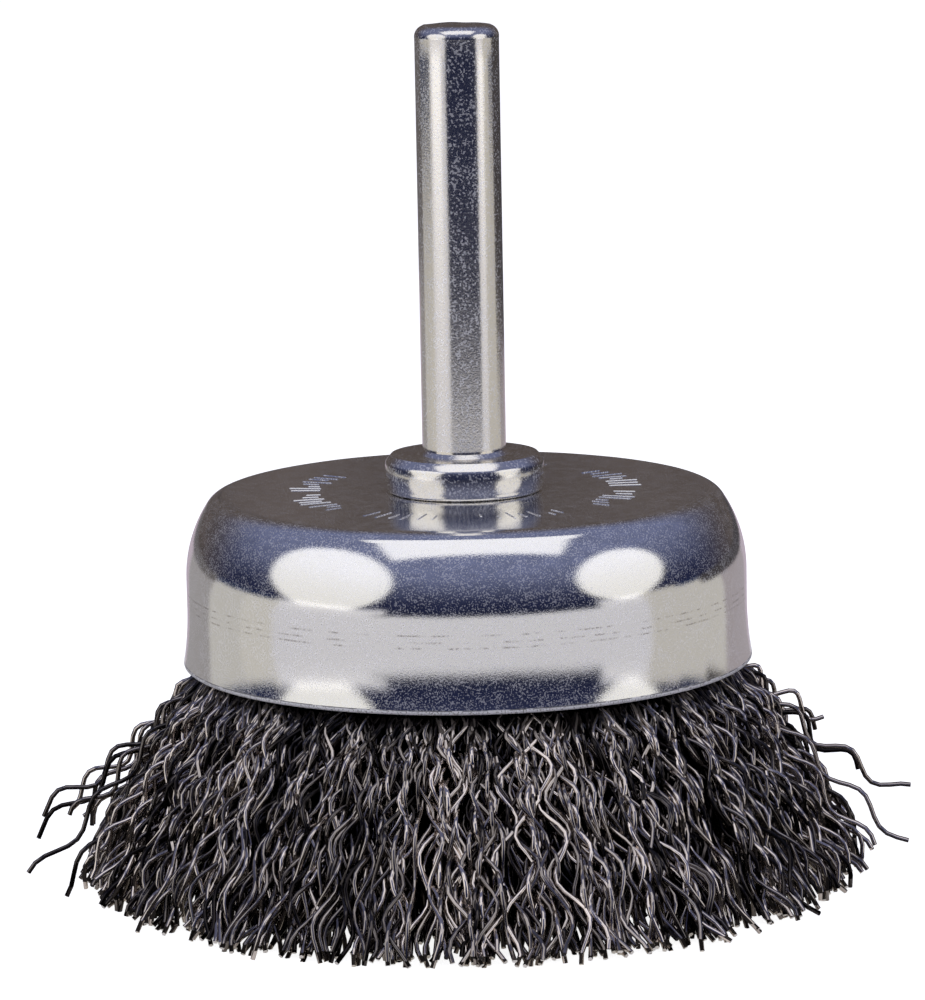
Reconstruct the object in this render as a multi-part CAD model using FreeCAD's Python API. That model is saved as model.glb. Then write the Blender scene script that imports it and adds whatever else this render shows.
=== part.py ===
# Crimped wire cup brush on a round shank, standing on its wire tips.
# Units are millimetres. +Z runs up the shank, and the origin is the centre of the working face,
# which is the plane that the wire tips are trimmed to.
import FreeCAD
import Part

import math
import os

# Wire trim and cup, stacked up from the working face
TRIM_LENGTH = 15.35
CUP_HEIGHT = 12.15

# Spindle: shank, collar and riveted tail, turned from one bar
SHANK_DIAMETER = 6.0
SHANK_LENGTH = 30.7
TIP_LAND_DIAMETER = 4.75
TIP_ROUND_HEIGHT = 0.95
TIP_ROUND_BULGE = 0.16
COLLAR_DIAMETER = 11.2
COLLAR_HEIGHT = 2.6
COLLAR_CHAMFER = 0.45
COLLAR_FOOT_ROUND = 0.35
ROOT_FILLET = 0.6
TAIL_DIAMETER = 6.4
TAIL_CLEARANCE = 0.05
RIVET_HEAD_DIAMETER = 9.6
RIVET_DOME_HEIGHT = 1.2
RIVET_EDGE_HEIGHT = 0.5

# Outer cup, pressed from sheet
CUP_WALL_DIAMETER = 40.24
CUP_SHEET = 1.0
CUP_CORNER_WIDTH = 2.82
CUP_CORNER_HEIGHT = 6.4
CUP_CORNER_RADIUS = 1.5
SKIRT_STRAIGHT = 1.7
SKIRT_FLARE_RADIUS = 23.0
RIM_ROUND = 0.5

# Inner cup, which holds the folded wires out against the outer cup across a ring-shaped channel
CHANNEL_WIDTH = 7.7
INNER_SHEET = 1.2
INNER_CORNER_RADIUS = 2.2
INNER_SKIRT_BELOW_RING = 4.2
INNER_MOUTH_RADIUS = 1.6
INNER_MOUTH_ANGLE = 40.0

# Retaining ring, a closed hoop that the wires are folded over
RING_WIRE_DIAMETER = 2.2
RING_CLEARANCE = 0.05

# Wire tufts: a folded root over the ring, and rows of crimped strands from the wall inwards
TUFT_COUNT = 24
STRANDS_BY_ROW = (2, 2, 1, 1)
ROOT_CLEARANCE = 0.1
ROOT_FOLD_SIDES = 8
ROOT_GROOVE_SIDES = 10
STRAND_THICKNESS = 1.2
STRAND_EMBED = 0.5
STRAND_CLEARANCE = 0.12
STRAIGHT_BELOW_RIM = 0.6
FLARE_DROP = 4.6
OUTER_SPRING = 4.0
INNER_SPRING = 0.5
OUTER_SPREAD = 8.9
INNER_SPREAD = 3.2
SPREAD_SCATTER = 1.3
ROW_STAGGER_ANGLE = 1.2

# Crimp of the strands, with flat crests in the rows that show and sharp ones behind them
CRIMP_PITCH = 7.2
CRIMP_AMPLITUDE = 0.75
FLAT_CREST_LENGTH = 1.5
FLAT_CREST_ROWS = 2
FIRST_CREST_DROP = 1.2
SHORTEST_END = 0.9
PHASE_STEP = 0.618034
ROW_PHASE_STEP = 0.3

# Stray strands that have sprung out of the outer row, the furthest ones a quarter turn apart
STRAY_EVERY = 3
STRAY_SPRING = 5.2
STRAY_SPREAD = 11.9
SHORT_STRAY_SPREAD = 10.6
STRAY_TIP_HEIGHT = 4.6
STRAY_PHASE = 0.3

# Heights and radii that follow from the sizes above
RIM_Z = TRIM_LENGTH
CUP_TOP_Z = RIM_Z + CUP_HEIGHT
CEILING_Z = CUP_TOP_Z - CUP_SHEET
INNER_PLATE_Z = CEILING_Z - INNER_SHEET
COLLAR_TOP_Z = CUP_TOP_Z + COLLAR_HEIGHT
SHANK_TOP_Z = COLLAR_TOP_Z + SHANK_LENGTH
SHANK_RADIUS = SHANK_DIAMETER / 2
COLLAR_RADIUS = COLLAR_DIAMETER / 2
TAIL_RADIUS = TAIL_DIAMETER / 2
HOLE_RADIUS = TAIL_RADIUS + TAIL_CLEARANCE
CUP_WALL_RADIUS = CUP_WALL_DIAMETER / 2
CUP_FLAT_RADIUS = CUP_WALL_RADIUS - CUP_CORNER_WIDTH
CUP_CORNER_Z = CUP_TOP_Z - CUP_CORNER_HEIGHT
CROWN_RISE = CUP_CORNER_HEIGHT - CUP_CORNER_RADIUS
CROWN_RADIUS = (CUP_CORNER_WIDTH**2 + CROWN_RISE**2 - CUP_CORNER_RADIUS**2) / (
    2 * (CUP_CORNER_WIDTH - CUP_CORNER_RADIUS)
)
CROWN_CENTRE_RADIUS = CUP_WALL_RADIUS - CROWN_RADIUS
CROWN_ANGLE = math.degrees(math.atan2(CROWN_RISE, CROWN_RADIUS - CUP_CORNER_WIDTH))
FLARE_Z = CUP_CORNER_Z - SKIRT_STRAIGHT
PACK_DEPTH = CUP_SHEET + ROOT_CLEARANCE
PACK_OUTER_RADIUS = CUP_WALL_RADIUS - PACK_DEPTH
INNER_CUP_RADIUS = CUP_WALL_RADIUS - CUP_SHEET - CHANNEL_WIDTH
PACK_INNER_RADIUS = INNER_CUP_RADIUS + ROOT_CLEARANCE
PACK_MIDDLE_RADIUS = (PACK_INNER_RADIUS + PACK_OUTER_RADIUS) / 2
FOLD_RADIUS = (PACK_OUTER_RADIUS - PACK_INNER_RADIUS) / 2
RING_Z = CEILING_Z - ROOT_CLEARANCE - FOLD_RADIUS
INNER_MOUTH_Z = RING_Z - INNER_SKIRT_BELOW_RING
ROOT_Z = INNER_MOUTH_Z + INNER_MOUTH_RADIUS + ROOT_CLEARANCE
STRAND_HALF = STRAND_THICKNESS / 2
TUFT_ANGLE = 360.0 / TUFT_COUNT
ROOT_HALF_ANGLE = TUFT_ANGLE / 2 - math.degrees(ROOT_CLEARANCE / PACK_INNER_RADIUS) / 2

AXIS = FreeCAD.Vector(0, 0, 1)
ORIGIN = FreeCAD.Vector(0, 0, 0)


def at(radius, height):
    """A point of a turned profile, in the XZ plane."""
    return FreeCAD.Vector(radius, 0, height)


def line(start, end):
    """A straight edge between two points."""
    return Part.LineSegment(start, end).toShape()


def arc(start, middle, end):
    """A circular edge through three points."""
    return Part.Arc(start, middle, end).toShape()


def points_about(centre, radius, first, last, sides):
    """Evenly spaced points of an arc in the XZ plane, by its angles in degrees from +X towards +Z."""
    points = []
    for i in range(sides + 1):
        turn = math.radians(between(first, last, i / sides))
        points.append(centre + at(radius * math.cos(turn), radius * math.sin(turn)))
    return points


def arc_about(centre, radius, first, last):
    """A circular edge in the XZ plane, by its angles in degrees from +X towards +Z."""
    return arc(*points_about(centre, radius, first, last, 2))


def polyline(*points):
    """Straight edges from point to point."""
    return [line(start, end) for start, end in zip(points, points[1:])]


def between(first, second, share):
    """The value at a share of the way from the first to the second."""
    return first + (second - first) * share


def turned(edges):
    """The solid that a closed profile sweeps about the Z axis."""
    face = Part.Face(Part.Wire(Part.__sortEdges__(edges)))
    return face.revolve(ORIGIN, AXIS, 360.0).Solids[0]


def end_of(edge):
    """The last point of an edge."""
    return edge.valueAt(edge.LastParameter)


def start_of(edge):
    """The first point of an edge."""
    return edge.valueAt(edge.FirstParameter)


def shank_profile():
    """From the centre of the shank's tip to the foot of its fillet on the collar."""
    tip_land = TIP_LAND_DIAMETER / 2
    tip_foot_z = SHANK_TOP_Z - TIP_ROUND_HEIGHT
    tip_middle = at(
        between(tip_land, SHANK_RADIUS, 0.5) + TIP_ROUND_BULGE,
        between(SHANK_TOP_Z, tip_foot_z, 0.5) + TIP_ROUND_BULGE,
    )
    fillet_centre = at(SHANK_RADIUS + ROOT_FILLET, COLLAR_TOP_Z + ROOT_FILLET)
    return [
        line(at(0, SHANK_TOP_Z), at(tip_land, SHANK_TOP_Z)),
        arc(at(tip_land, SHANK_TOP_Z), tip_middle, at(SHANK_RADIUS, tip_foot_z)),
        line(at(SHANK_RADIUS, tip_foot_z), at(SHANK_RADIUS, fillet_centre.z)),
        arc_about(fillet_centre, ROOT_FILLET, 180, 270),
    ]


def collar_profile():
    """From the foot of the shank's fillet round the collar to the tail."""
    foot_centre = at(COLLAR_RADIUS - COLLAR_FOOT_ROUND, CUP_TOP_Z + COLLAR_FOOT_ROUND)
    upper = polyline(
        at(SHANK_RADIUS + ROOT_FILLET, COLLAR_TOP_Z),
        at(COLLAR_RADIUS - COLLAR_CHAMFER, COLLAR_TOP_Z),
        at(COLLAR_RADIUS, COLLAR_TOP_Z - COLLAR_CHAMFER),
        at(COLLAR_RADIUS, foot_centre.z),
    )
    foot = arc_about(foot_centre, COLLAR_FOOT_ROUND, 0, -90)
    return upper + [foot, line(at(foot_centre.x, CUP_TOP_Z), at(TAIL_RADIUS, CUP_TOP_Z))]


def rivet_profile():
    """The tail through both cups and its peened head, closed along the axis."""
    head_radius = RIVET_HEAD_DIAMETER / 2
    edge_z = INNER_PLATE_Z - RIVET_EDGE_HEIGHT
    bottom_z = edge_z - RIVET_DOME_HEIGHT
    dome_radius = (head_radius**2 + RIVET_DOME_HEIGHT**2) / (2 * RIVET_DOME_HEIGHT)
    middle_radius = head_radius / 2
    middle_z = bottom_z + dome_radius - math.sqrt(dome_radius**2 - middle_radius**2)
    tail = polyline(
        at(TAIL_RADIUS, CUP_TOP_Z),
        at(TAIL_RADIUS, INNER_PLATE_Z),
        at(head_radius, INNER_PLATE_Z),
        at(head_radius, edge_z),
    )
    dome = arc(at(head_radius, edge_z), at(middle_radius, middle_z), at(0, bottom_z))
    return tail + [dome, line(at(0, bottom_z), at(0, SHANK_TOP_Z))]


def spindle():
    """Shank with a rounded tip, collar with a filleted root, and the tail peened over as a rivet."""
    return turned(shank_profile() + collar_profile() + rivet_profile())


def cup_skin(depth):
    """The outer cup's profile at a depth below its outside, from the hole in its top to its rim."""
    wall_radius = CUP_WALL_RADIUS - depth
    corner_centre = at(CUP_FLAT_RADIUS, CUP_TOP_Z - CUP_CORNER_RADIUS)
    crown_centre = at(CROWN_CENTRE_RADIUS, CUP_CORNER_Z)
    flare_centre = at(CUP_WALL_RADIUS + SKIRT_FLARE_RADIUS, FLARE_Z)
    flare_angle = math.degrees(math.asin((FLARE_Z - RIM_Z) / SKIRT_FLARE_RADIUS))
    return [
        line(at(HOLE_RADIUS, CUP_TOP_Z - depth), at(CUP_FLAT_RADIUS, CUP_TOP_Z - depth)),
        arc_about(corner_centre, CUP_CORNER_RADIUS - depth, 90, CROWN_ANGLE),
        arc_about(crown_centre, CROWN_RADIUS - depth, CROWN_ANGLE, 0),
        line(at(wall_radius, CUP_CORNER_Z), at(wall_radius, FLARE_Z)),
        arc_about(flare_centre, SKIRT_FLARE_RADIUS + depth, 180, 180 + flare_angle),
    ]


def outer_cup():
    """A flat top, a crowned wall, and a skirt that runs straight and then flares to a rounded rim."""
    outside = cup_skin(0)
    inside = cup_skin(CUP_SHEET)
    flare = outside.pop()
    rim_out = end_of(flare)
    rim_in = end_of(inside[-1])
    across = (rim_in - rim_out).normalize()
    upwards = FreeCAD.Vector(across.z, 0, -across.x)
    round_start = rim_out + upwards * RIM_ROUND
    round_end = rim_out + across * RIM_ROUND
    round_centre = round_start + across * RIM_ROUND
    round_middle = round_centre + (rim_out - round_centre).normalize() * RIM_ROUND
    flare_middle = flare.valueAt(between(flare.FirstParameter, flare.LastParameter, 0.5))
    edges = outside + inside
    edges.append(arc(start_of(flare), flare_middle, round_start))
    edges.append(arc(round_start, round_middle, round_end))
    edges.append(line(round_end, rim_in))
    edges.append(line(at(HOLE_RADIUS, CEILING_Z), at(HOLE_RADIUS, CUP_TOP_Z)))
    return turned(edges)


def inner_skin(depth):
    """The inner cup's profile at a depth below its outside, from the hole to its mouth."""
    wall_radius = INNER_CUP_RADIUS - depth
    top_z = CEILING_Z - depth
    corner_centre = at(INNER_CUP_RADIUS - INNER_CORNER_RADIUS, CEILING_Z - INNER_CORNER_RADIUS)
    mouth_centre = at(INNER_CUP_RADIUS + INNER_MOUTH_RADIUS, INNER_MOUTH_Z + INNER_MOUTH_RADIUS)
    return [
        line(at(HOLE_RADIUS, top_z), at(corner_centre.x, top_z)),
        arc_about(corner_centre, INNER_CORNER_RADIUS - depth, 90, 0),
        line(at(wall_radius, corner_centre.z), at(wall_radius, mouth_centre.z)),
        arc_about(mouth_centre, INNER_MOUTH_RADIUS + depth, 180, 180 + INNER_MOUTH_ANGLE),
    ]


def inner_cup():
    """A small pressed cup, riveted under the outer one, whose mouth turns out below the roots."""
    outside = inner_skin(0)
    inside = inner_skin(INNER_SHEET)
    mouth = line(end_of(outside[-1]), end_of(inside[-1]))
    hole = line(start_of(outside[0]), start_of(inside[0]))
    return turned(outside + inside + [mouth, hole])


def retaining_ring():
    """The hoop that lies inside the folds of the wires."""
    return Part.makeTorus(PACK_MIDDLE_RADIUS, RING_WIRE_DIAMETER / 2, at(0, RING_Z), AXIS)


def skinned(rings):
    """The flat-faced solid between polygons that have the same number of corners."""
    faces = [Part.Face(Part.makePolygon(end + end[:1])) for end in (rings[0], rings[-1])]
    for first, second in zip(rings, rings[1:]):
        for k in range(len(first)):
            j = (k + 1) % len(first)
            corners = [first[k], first[j], second[j], second[k], first[k]]
            faces.append(Part.Face(Part.makePolygon(corners)))
    solid = Part.Solid(Part.Shell(faces))
    return solid if solid.Volume > 0 else solid.reversed()


def swung(points, azimuth):
    """Points turned about the Z axis."""
    turn = FreeCAD.Rotation(AXIS, azimuth)
    return [turn.multVec(point) for point in points]


def under_the_cup(point):
    """The point, lowered where it would stand out of the channel's crowned corner."""
    reach = max(0.0, (CROWN_RADIUS - PACK_DEPTH) ** 2 - (point.x - CROWN_CENTRE_RADIUS) ** 2)
    return at(point.x, min(point.z, CUP_CORNER_Z + math.sqrt(reach)))


def tuft_root():
    """The folded and clamped part of one tuft, about azimuth 0, with a groove for the ring."""
    fold_centre = at(PACK_MIDDLE_RADIUS, RING_Z)
    fold = [under_the_cup(p) for p in points_about(fold_centre, FOLD_RADIUS, 0, 180, ROOT_FOLD_SIDES)]
    chord_share = math.cos(math.radians(ROOT_HALF_ANGLE))
    inner_wall = PACK_INNER_RADIUS / chord_share
    fold[-1] = at(inner_wall, RING_Z)
    profile = fold + [at(inner_wall, ROOT_Z), at(PACK_OUTER_RADIUS, ROOT_Z)]
    chord_sag = PACK_MIDDLE_RADIUS * (1 - chord_share)
    inscribed = RING_WIRE_DIAMETER / 2 + RING_CLEARANCE + chord_sag
    groove_radius = inscribed / math.cos(math.pi / ROOT_GROOVE_SIDES)
    groove = points_about(fold_centre, groove_radius, 0, 360, ROOT_GROOVE_SIDES)[:-1]
    root = skinned([swung(profile, -ROOT_HALF_ANGLE), swung(profile, ROOT_HALF_ANGLE)])
    return root.cut(skinned([swung(groove, -TUFT_ANGLE / 2), swung(groove, TUFT_ANGLE / 2)])).Solids[0]


def spine(start_radius, spring, spread, tip_z):
    """Closely spaced points of a strand's middle line below the rim, with their distances along it."""
    start = at(start_radius, RIM_Z - STRAIGHT_BELOW_RIM)
    knee = start + at(spring, -FLARE_DROP)
    tip = at(start_radius + spread, tip_z)
    steps = 60
    points = []
    for i in range(steps + 1):
        share = i / steps
        points.append(between(between(start, knee, share), between(knee, tip, share), share))
    distances = [0.0]
    for first, second in zip(points, points[1:]):
        distances.append(distances[-1] + (second - first).Length)
    return points, distances


def along(points, distances, distance):
    """The point of a middle line at a distance from its start."""
    for i in range(1, len(points)):
        if distances[i] >= distance:
            share = (distance - distances[i - 1]) / (distances[i] - distances[i - 1])
            return between(points[i - 1], points[i], share)
    return points[-1]


def crimp_bends(length, phase, crest_length):
    """The bends of a crimp as distances and sides, the tip last, where it meets the wave."""
    half_pitch = CRIMP_PITCH / 2
    reach = crest_length / 2
    side = 1 if phase < 0.5 else -1
    crest = FIRST_CREST_DROP + half_pitch * (phase % 0.5)
    bends = []
    while crest < length + CRIMP_PITCH:
        bends += [(distance, side) for distance in sorted({crest - reach, crest + reach})]
        crest += half_pitch
        side = -side
    kept = [bend for bend in bends if bend[0] < length]
    last = kept[-1]
    following = bends[len(kept)]
    tip_side = between(last[1], following[1], (length - last[0]) / (following[0] - last[0]))
    if length - last[0] < SHORTEST_END:
        kept.pop()
    return kept + [(length, tip_side)]


def crimp_room(radius, strands_in_row):
    """How far a strand may swing to each side at a radius without meeting its neighbours."""
    slope = math.atan2(2 * CRIMP_AMPLITUDE, CRIMP_PITCH / 2 - FLAT_CREST_LENGTH)
    spacing = 2 * math.pi * radius / strands_in_row
    room = (spacing - STRAND_THICKNESS / math.cos(slope) - STRAND_CLEARANCE) / 2
    return max(0.0, min(CRIMP_AMPLITUDE, room))


def strand(start_radius, spring, spread, tip_z, phase, crest_length, strands_in_row):
    """One crimped strand about azimuth 0, from inside the root to its tip."""
    points, distances = spine(start_radius, spring, spread, tip_z)
    path = [at(start_radius, ROOT_Z + STRAND_EMBED), points[0]]
    for distance, side in crimp_bends(distances[-1], phase, crest_length):
        point = along(points, distances, distance)
        swing = side * crimp_room(point.x, strands_in_row)
        path.append(point + FreeCAD.Vector(0, swing, 0))
    return mitred_bar(path)


def mitred_bar(path):
    """A four-cornered bar along a path, mitred at its bends, its ends cut level."""
    ring = [path[0] + FreeCAD.Vector(x, y, 0) * STRAND_HALF for x, y in ((1, 0), (0, 1), (-1, 0), (0, -1))]
    rings = [ring]
    ways = [(second - first).normalize() for first, second in zip(path, path[1:])]
    for i, way in enumerate(ways):
        normal = AXIS if i == len(ways) - 1 else (way + ways[i + 1]).normalize()
        ring = [p + way * ((path[i + 1] - p).dot(normal) / way.dot(normal)) for p in ring]
        rings.append(ring)
    return skinned(rings)


def stray_strand(index, start_radius, strands_in_row):
    """A strand that stands out of the outer row."""
    is_long = index % (TUFT_COUNT // 4) == 0
    spread = STRAY_SPREAD if is_long else SHORT_STRAY_SPREAD
    return strand(
        start_radius, STRAY_SPRING, spread, STRAY_TIP_HEIGHT, STRAY_PHASE, FLAT_CREST_LENGTH, strands_in_row
    )


def row_strands(index, row):
    """The strands that one tuft has in one row, at their azimuths about the tuft's own."""
    count = STRANDS_BY_ROW[row]
    strands_in_row = TUFT_COUNT * count
    depth = row / (len(STRANDS_BY_ROW) - 1)
    wall_side = PACK_OUTER_RADIUS - STRAND_HALF
    mouth_side = PACK_INNER_RADIUS + INNER_MOUTH_RADIUS + STRAND_HALF
    start_radius = between(wall_side, mouth_side, depth)
    spring = between(OUTER_SPRING, INNER_SPRING, depth)
    crest_length = FLAT_CREST_LENGTH if row < FLAT_CREST_ROWS else 0.0
    stagger = ROW_STAGGER_ANGLE * (-1 if row % 2 else 1)
    made = []
    for k in range(count):
        phase = (row * ROW_PHASE_STEP + (index * count + k) * PHASE_STEP) % 1.0
        spread = between(OUTER_SPREAD, INNER_SPREAD, depth) + SPREAD_SCATTER * (phase - 0.5)
        if row == 0 and k == 0 and index % STRAY_EVERY == 0:
            piece = stray_strand(index, start_radius, strands_in_row)
        else:
            piece = strand(start_radius, spring, spread, 0.0, phase, crest_length, strands_in_row)
        azimuth = TUFT_ANGLE * ((k + 0.5) / count - 0.5) + stagger
        piece.rotate(ORIGIN, AXIS, azimuth)
        made.append(piece)
    return made


def wire_tuft(index, root):
    """One tuft: its root over the ring, and the crimped strands that fan out of it below the rim."""
    strands = []
    for row in range(len(STRANDS_BY_ROW)):
        strands += row_strands(index, row)
    tuft = root.multiFuse(strands).Solids[0]
    tuft.rotate(ORIGIN, AXIS, index * TUFT_ANGLE)
    return tuft


def main():
    """Writes one STEP file for each piece."""
    os.makedirs("parts", exist_ok=True)
    pieces = {
        "spindle": spindle(),
        "outer_cup": outer_cup(),
        "inner_cup": inner_cup(),
        "retaining_ring": retaining_ring(),
    }
    root = tuft_root()
    for index in range(TUFT_COUNT):
        pieces[f"wire_tuft_{index + 1:02d}"] = wire_tuft(index, root)
    for name, shape in pieces.items():
        shape.exportStep(f"parts/{name}.step")


main()
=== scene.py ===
"""Wire cup brush, dressed for the studio.

The packed frame gives the solids. This script replaces the turned and pressed parts by finely divided ones,
builds the crimped wires of each tuft, gives every surface its finish, and sets the camera and the lights.
All lengths are metres and all angles radians, unless a name says degrees.
"""

import logging
import math
import random
from collections.abc import Callable, Sequence
from dataclasses import dataclass, field, replace
from enum import Enum

import bpy
from mathutils import Matrix, Vector, noise


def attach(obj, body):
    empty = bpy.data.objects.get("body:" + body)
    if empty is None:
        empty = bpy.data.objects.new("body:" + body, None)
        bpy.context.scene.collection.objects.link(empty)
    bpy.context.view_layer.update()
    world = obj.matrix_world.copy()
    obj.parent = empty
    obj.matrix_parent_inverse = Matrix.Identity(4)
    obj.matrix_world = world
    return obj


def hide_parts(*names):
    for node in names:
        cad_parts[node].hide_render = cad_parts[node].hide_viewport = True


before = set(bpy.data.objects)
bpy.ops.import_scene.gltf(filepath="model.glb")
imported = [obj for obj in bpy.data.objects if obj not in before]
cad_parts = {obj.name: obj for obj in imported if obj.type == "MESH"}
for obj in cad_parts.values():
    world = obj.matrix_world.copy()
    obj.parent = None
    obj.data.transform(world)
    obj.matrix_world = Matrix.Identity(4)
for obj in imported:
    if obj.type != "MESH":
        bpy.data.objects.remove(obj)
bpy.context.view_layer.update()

log = logging.getLogger("cup_brush")

MM = 0.001
BODY = "root"
TUFT_COUNT = 24
FIRST_STRAY_SEED = 200
SAME_PLACE = 1e-7

Point = tuple[float, float]
Range = tuple[float, float]
Spot = tuple[float, float, float]
Colour = tuple[float, float, float]
Inputs = dict[str | int, object]


class Slot(Enum):
    """The record's material slots, one named for each kind of piece."""

    SPINDLE = "spindle_plating"
    OUTER_CUP = "cup_plating"
    INNER_CUP = "inner_cup_plating"
    WIRE = "wire_steel"


# Node trees


def arithmetic(operation: str, is_swapped: bool = False) -> Callable[["Quantity", "Number"], "Quantity"]:
    """An operator of Quantity. If it is swapped, the other value comes first."""

    def apply(quantity: "Quantity", other: "Number") -> "Quantity":
        """The result for two values."""
        return quantity.bench.math(operation, *((other, quantity) if is_swapped else (quantity, other)))

    return apply


class Quantity:
    """A value that flows through a node tree and takes part in plain arithmetic."""

    def __init__(self, bench: "NodeBench", socket: bpy.types.NodeSocket) -> None:
        """Args: bench: the tree's bench. socket: the output that gives the value."""
        self.bench = bench
        self.socket = socket

    __add__ = arithmetic("ADD")
    __radd__ = arithmetic("ADD", is_swapped=True)
    __sub__ = arithmetic("SUBTRACT")
    __rsub__ = arithmetic("SUBTRACT", is_swapped=True)
    __mul__ = arithmetic("MULTIPLY")
    __rmul__ = arithmetic("MULTIPLY", is_swapped=True)
    __truediv__ = arithmetic("DIVIDE")


Number = Quantity | float


class NodeBench:
    """Adds nodes to one tree and joins them up."""

    def __init__(self, tree: bpy.types.NodeTree) -> None:
        """Args: tree: the geometry, material or world tree to work on."""
        self.tree = tree

    def node(self, kind: str, inputs: Inputs | None = None, **settings: object) -> bpy.types.Node:
        """Adds a node.

        Args:
            kind: the node's type name.
            inputs: what its inputs get, by name or number.
            settings: the node's own properties.

        Returns:
            The new node.
        """
        made = self.tree.nodes.new(kind)
        for name, value in settings.items():
            setattr(made, name, value)
        self.fill(made, inputs or {})
        return made

    def fill(self, node: bpy.types.Node, inputs: Inputs) -> None:
        """Feeds some of a node's inputs, by name or number."""
        for key, value in inputs.items():
            self.feed(node.inputs[key], value)

    def feed(self, socket: bpy.types.NodeSocket, value: object) -> None:
        """Sets an input to a plain value, or links it.

        Args:
            socket: the input.
            value: a Quantity, an output socket, or a value for the socket itself. A colour has three parts.
        """
        if isinstance(value, Quantity):
            value = value.socket
        if isinstance(value, bpy.types.NodeSocket):
            self.tree.links.new(value, socket)
        elif socket.type == "RGBA":
            socket.default_value = (*value, 1.0)
        else:
            socket.default_value = value

    def math(self, operation: str, *values: Number) -> Quantity:
        """The result of a Math node."""
        made = self.node("ShaderNodeMath", dict(enumerate(values)), operation=operation)
        return Quantity(self, made.outputs[0])

    def clamp(self, value: Number) -> Quantity:
        """The value held between 0 and 1."""
        made = self.math("ADD", value, 0.0)
        made.socket.node.use_clamp = True
        return made

    def mix(self, first: Number, second: Number, share: Number) -> Number:
        """The first number at share 0, the second at share 1."""
        return first + (second - first) * share

    def rise(self, value: Number, low: float, high: float) -> Quantity:
        """A smooth step.

        Args:
            value: what is measured.
            low: where the step starts from 0.
            high: where it reaches 1.

        Returns:
            The step's height at the value.
        """
        given = {"Value": value, "From Min": low, "From Max": high}
        made = self.node("ShaderNodeMapRange", given, interpolation_type="SMOOTHSTEP")
        return Quantity(self, made.outputs[0])

    def vector(self, x: Number, y: Number, z: Number) -> bpy.types.NodeSocket:
        """The three numbers as one vector."""
        return self.node("ShaderNodeCombineXYZ", {0: x, 1: y, 2: z}).outputs[0]

    def split(self, vector: bpy.types.NodeSocket) -> list[Quantity]:
        """The vector's three numbers."""
        made = self.node("ShaderNodeSeparateXYZ", {0: vector})
        return [Quantity(self, socket) for socket in made.outputs]

    def here(self) -> bpy.types.NodeSocket:
        """The point on the piece, in the piece's own coordinates."""
        return self.node("ShaderNodeTexCoord").outputs["Object"]

    def speckle(
        self, where: bpy.types.NodeSocket, scale: float, detail: float, rough: float = 0.5
    ) -> Quantity:
        """A noise about 0.5: scale in cells to a metre, detail in octaves, rough the finer ones' share."""
        given = {"Vector": where, "Scale": scale, "Detail": detail, "Roughness": rough}
        return Quantity(self, self.node("ShaderNodeTexNoise", given).outputs["Fac"])

    def blend(self, first: object, second: object, share: Number) -> bpy.types.NodeSocket:
        """The first colour at share 0, the second at share 1."""
        return self.node("ShaderNodeMix", {0: share, 6: first, 7: second}, data_type="RGBA").outputs[2]

    def dent(self, shader: bpy.types.Node, height: Number, depth: float) -> None:
        """Gives a Principled shader's surface relief, where a height of 1 is so deep."""
        bump = self.node("ShaderNodeBump", {"Strength": 1.0, "Distance": depth, "Height": height})
        self.feed(shader.inputs["Normal"], bump.outputs[0])


# Turned and pressed shapes


def arc_points(centre: Point, radius: float, start: float, end: float, steps: int) -> list[Point]:
    """Points on an arc.

    Args:
        centre: its centre, as distance from the axis and height.
        radius: its radius.
        start: the angle of the first point in degrees, from outwards towards up.
        end: the angle of the last point in degrees.
        steps: how many chords.

    Returns:
        The points, ends included.
    """
    angles = [math.radians(start + (end - start) * i / steps) for i in range(steps + 1)]
    return [(centre[0] + radius * math.cos(a), centre[1] + radius * math.sin(a)) for a in angles]


def arc_through(first: Point, middle: Point, last: Point, steps: int) -> list[Point]:
    """Points on the arc through three points, ends included."""
    (ax, ay), (bx, by), (cx, cy) = first, middle, last
    d = 2 * (ax * (by - cy) + bx * (cy - ay) + cx * (ay - by))
    a2, b2, c2 = ax * ax + ay * ay, bx * bx + by * by, cx * cx + cy * cy
    ux = (a2 * (by - cy) + b2 * (cy - ay) + c2 * (ay - by)) / d
    uy = (a2 * (cx - bx) + b2 * (ax - cx) + c2 * (bx - ax)) / d
    start = math.degrees(math.atan2(ay - uy, ax - ux))
    end = math.degrees(math.atan2(cy - uy, cx - ux))
    return arc_points((ux, uy), math.dist((ux, uy), first), start, end, steps)


def line_points(start: Point, end: Point, steps: int) -> list[Point]:
    """Evenly spaced points on a straight line, ends included."""
    shares = [i / steps for i in range(steps + 1)]
    return [(start[0] + (end[0] - start[0]) * s, start[1] + (end[1] - start[1]) * s) for s in shares]


def distinct(points: Sequence[Point]) -> list[Point]:
    """The points without those that repeat the one before."""
    kept = [points[0]]
    for point in points[1:]:
        if math.dist(point, kept[-1]) > SAME_PLACE:
            kept.append(point)
    return kept


def new_piece(
    name: str,
    vertices: Sequence[Spot],
    faces: Sequence[Sequence[int]],
    material: bpy.types.Material,
) -> bpy.types.Object:
    """Makes a mesh object and links it to the scene.

    Args:
        name: its name.
        vertices: its points.
        faces: the corners of each face.
        material: its finish.

    Returns:
        The piece.
    """
    mesh = bpy.data.meshes.new(name)
    mesh.from_pydata(vertices, [], faces)
    mesh.materials.append(material)
    piece = bpy.data.objects.new(name, mesh)
    bpy.context.scene.collection.objects.link(piece)
    return piece


def place(piece: bpy.types.Object, slot: Slot, *nodes: str) -> None:
    """Gives a finished piece to the frame.

    Args:
        piece: the piece, already in place.
        slot: not used.
        nodes: the solids it stands for.
    """
    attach(piece, BODY)
    if nodes:
        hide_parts(*nodes)
    log.info("%s: %d faces", piece.name, len(piece.data.polygons))


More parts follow.
